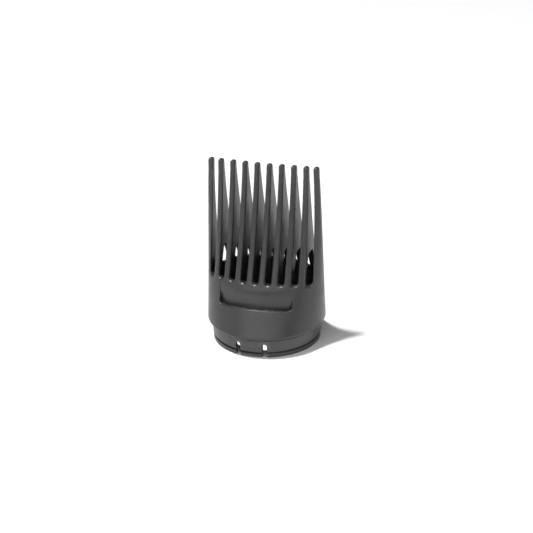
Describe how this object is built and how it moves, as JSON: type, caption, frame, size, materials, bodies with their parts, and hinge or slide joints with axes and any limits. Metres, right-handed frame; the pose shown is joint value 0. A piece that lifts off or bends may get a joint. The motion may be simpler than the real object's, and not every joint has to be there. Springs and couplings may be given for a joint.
{
  "type": "hair dryer comb nozzle",
  "caption": "Comb nozzle for a hair dryer: a row of tapered teeth on a flared oval duct, with a finger grip and a round snap-in collar.",
  "frame": {"origin": "middle of the collar's lower face, on the airflow axis", "axes": "+Z along the airflow, from the collar to the tips of the teeth; the teeth stand in a row along X; -Y is the front, with the finger grip"},
  "size_m": [0.05, 0.0498, 0.0781],
  "materials": {
    "comb_plastic": "satin, finely textured moulded plastic, charcoal grey",
    "collar_plastic": "satin, smooth moulded plastic, charcoal grey"
  },
  "bodies": {
    "comb": {"comb_shell": "comb_plastic", "tooth_01": "comb_plastic", "tooth_02": "comb_plastic", "tooth_03": "comb_plastic", "tooth_04": "comb_plastic", "tooth_05": "comb_plastic", "tooth_06": "comb_plastic", "tooth_07": "comb_plastic", "tooth_08": "comb_plastic", "tooth_09": "comb_plastic", "tooth_10": "comb_plastic", "coupling_collar": "collar_plastic"},
    "front_tab": {"snap_tab_front": "collar_plastic"},
    "rear_tab": {"snap_tab_rear": "collar_plastic"}
  },
  "joints": [
    {"name": "snap_tab_front_flex", "type": "hinge", "parent": "comb", "child": "front_tab", "pos_m": [0, -0.0215, 0.00515], "axis": [1, 0, 0], "range_deg": [0, 6], "stiffness_Nm_per_rad": 0.5},
    {"name": "snap_tab_rear_flex", "type": "hinge", "parent": "comb", "child": "rear_tab", "pos_m": [0, 0.0215, 0.00515], "axis": [-1, 0, 0], "range_deg": [0, 6], "stiffness_Nm_per_rad": 0.5}
  ]
}
